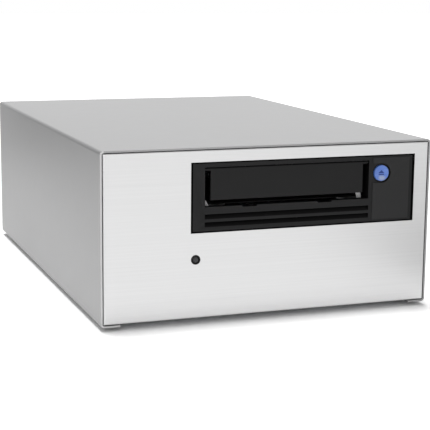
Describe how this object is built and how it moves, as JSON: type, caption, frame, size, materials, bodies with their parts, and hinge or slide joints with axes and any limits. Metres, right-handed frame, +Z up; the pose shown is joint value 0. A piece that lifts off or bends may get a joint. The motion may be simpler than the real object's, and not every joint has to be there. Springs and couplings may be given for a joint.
{
  "type": "data tape drive",
  "caption": "Desktop tape drive: bent sheet sleeve, flat front plate with a half-height drive bezel, cartridge door and eject button.",
  "frame": {"origin": "on the table under the middle of the enclosure's outline", "axes": "+Z up, front faces -Y, +X to the right seen from the front"},
  "size_m": [0.2156, 0.3088, 0.1075],
  "materials": {
    "sleeve": "fine-grained bare aluminium",
    "front_panel": "bare aluminium brushed across",
    "rear_panel": "bare aluminium",
    "steel": "zinc-plated sheet steel",
    "screw": "zinc-plated",
    "cast": "die-cast aluminium",
    "bezel": "fine-grained charcoal moulding",
    "door": "fine-grained charcoal moulding",
    "button": "translucent blue moulding",
    "black": "black moulding",
    "lens": "smoked lens",
    "rubber": "soft rubber",
    "board": "solder mask",
    "fan": "black moulding",
    "chrome": "bright plating",
    "reel": "light grey moulding",
    "head": "dark polished ceramic"
  },
  "bodies": {
    "enclosure": {"sleeve": "sleeve", "base_tray": "steel", "front_panel": "front_panel", "rear_panel": "rear_panel", "foot_front_left": "rubber", "foot_front_right": "rubber", "foot_rear_left": "rubber", "foot_rear_right": "rubber", "led_holder": "black", "power_led": "lens", "front_screws": "screw", "rear_screws": "screw", "fan_screws": "screw", "cover_screws": "screw", "fan_frame": "fan", "fan_guard": "chrome", "mains_inlet": "black", "rocker_frame": "black", "data_port_left": "steel", "data_port_right": "steel", "port_board": "board", "power_supply": "steel", "supply_terminals": "black", "drive_bracket_left": "steel", "drive_bracket_right": "steel", "drive_screws_left": "screw", "drive_screws_right": "screw", "bezel": "bezel", "eject_switch": "black", "front_board": "board", "drive_base": "cast", "drive_cover": "steel", "drive_bottom": "steel", "main_board": "board", "drive_connector": "black", "supply_motor": "steel", "reel_motor": "steel", "head_base": "cast", "loader_motor": "steel"},
    "eject_button": {"eject_button": "button"},
    "door": {"door": "door", "door_pin": "steel"},
    "rocker": {"rocker": "black"},
    "fan_rotor": {"fan_rotor": "fan"},
    "loader": {"loader_frame": "steel"},
    "carriage": {"carriage": "chrome", "carriage_pins": "steel"},
    "supply_clutch": {"supply_clutch": "reel"},
    "take_up_reel": {"take_up_reel": "reel"},
    "guide_roller_1": {"guide_roller_1": "chrome"},
    "guide_roller_2": {"guide_roller_2": "chrome"},
    "guide_roller_3": {"guide_roller_3": "chrome"},
    "guide_roller_4": {"guide_roller_4": "chrome"},
    "tape_head": {"tape_head": "head"},
    "threader_arm": {"threader_arm": "steel"}
  },
  "joints": [
    {"name": "eject_button_press", "type": "slide", "parent": "enclosure", "child": "eject_button", "axis": [0, 1, 0], "range_m": [0, 0.001], "stiffness_N_per_m": 1000, "springref_m": -0.0005},
    {"name": "door_hinge", "type": "hinge", "parent": "enclosure", "child": "door", "pos_m": [0.0109, -0.15195, 0.09405], "axis": [1, 0, 0], "range_deg": [0, 90], "stiffness_Nm_per_rad": 0.004, "springref_deg": -20.05},
    {"name": "rocker_tilt", "type": "hinge", "parent": "enclosure", "child": "rocker", "pos_m": [-0.0838, 0.14815, 0.06], "axis": [1, 0, 0], "range_deg": [0, 12]},
    {"name": "fan_spin", "type": "hinge", "parent": "enclosure", "child": "fan_rotor", "pos_m": [0.0586, 0.13795, 0.0576], "axis": [0, 1, 0], "continuous": true},
    {"name": "loader_slide", "type": "slide", "parent": "enclosure", "child": "loader", "axis": [0, 1, 0], "range_m": [0, 0.016]},
    {"name": "carriage_drop", "type": "slide", "parent": "loader", "child": "carriage", "axis": [0, 0, -1], "range_m": [0, 0.0045]},
    {"name": "supply_spin", "type": "hinge", "parent": "enclosure", "child": "supply_clutch", "pos_m": [0.0109, -0.08085, 0.0689], "axis": [0, 0, 1], "continuous": true},
    {"name": "take_up_spin", "type": "hinge", "parent": "enclosure", "child": "take_up_reel", "pos_m": [0.0109, 0.01185, 0.0759], "axis": [0, 0, 1], "continuous": true},
    {"name": "guide_roller_1_spin", "type": "hinge", "parent": "enclosure", "child": "guide_roller_1", "pos_m": [-0.0347, -0.01915, 0.0759], "axis": [0, 0, 1], "continuous": true},
    {"name": "guide_roller_2_spin", "type": "hinge", "parent": "enclosure", "child": "guide_roller_2", "pos_m": [-0.0397, -0.00415, 0.0759], "axis": [0, 0, 1], "continuous": true},
    {"name": "guide_roller_3_spin", "type": "hinge", "parent": "enclosure", "child": "guide_roller_3", "pos_m": [-0.0397, 0.02435, 0.0759], "axis": [0, 0, 1], "continuous": true},
    {"name": "guide_roller_4_spin", "type": "hinge", "parent": "enclosure", "child": "guide_roller_4", "pos_m": [-0.0307, 0.04135, 0.0759], "axis": [0, 0, 1], "continuous": true},
    {"name": "head_shift", "type": "slide", "parent": "enclosure", "child": "tape_head", "axis": [0, 0, 1], "range_m": [-0.003, 0.003]},
    {"name": "threader_swing", "type": "hinge", "parent": "enclosure", "child": "threader_arm", "pos_m": [-0.0383, 0.03335, 0.0899], "axis": [0, 0, 1], "range_deg": [0, 64]}
  ]
}
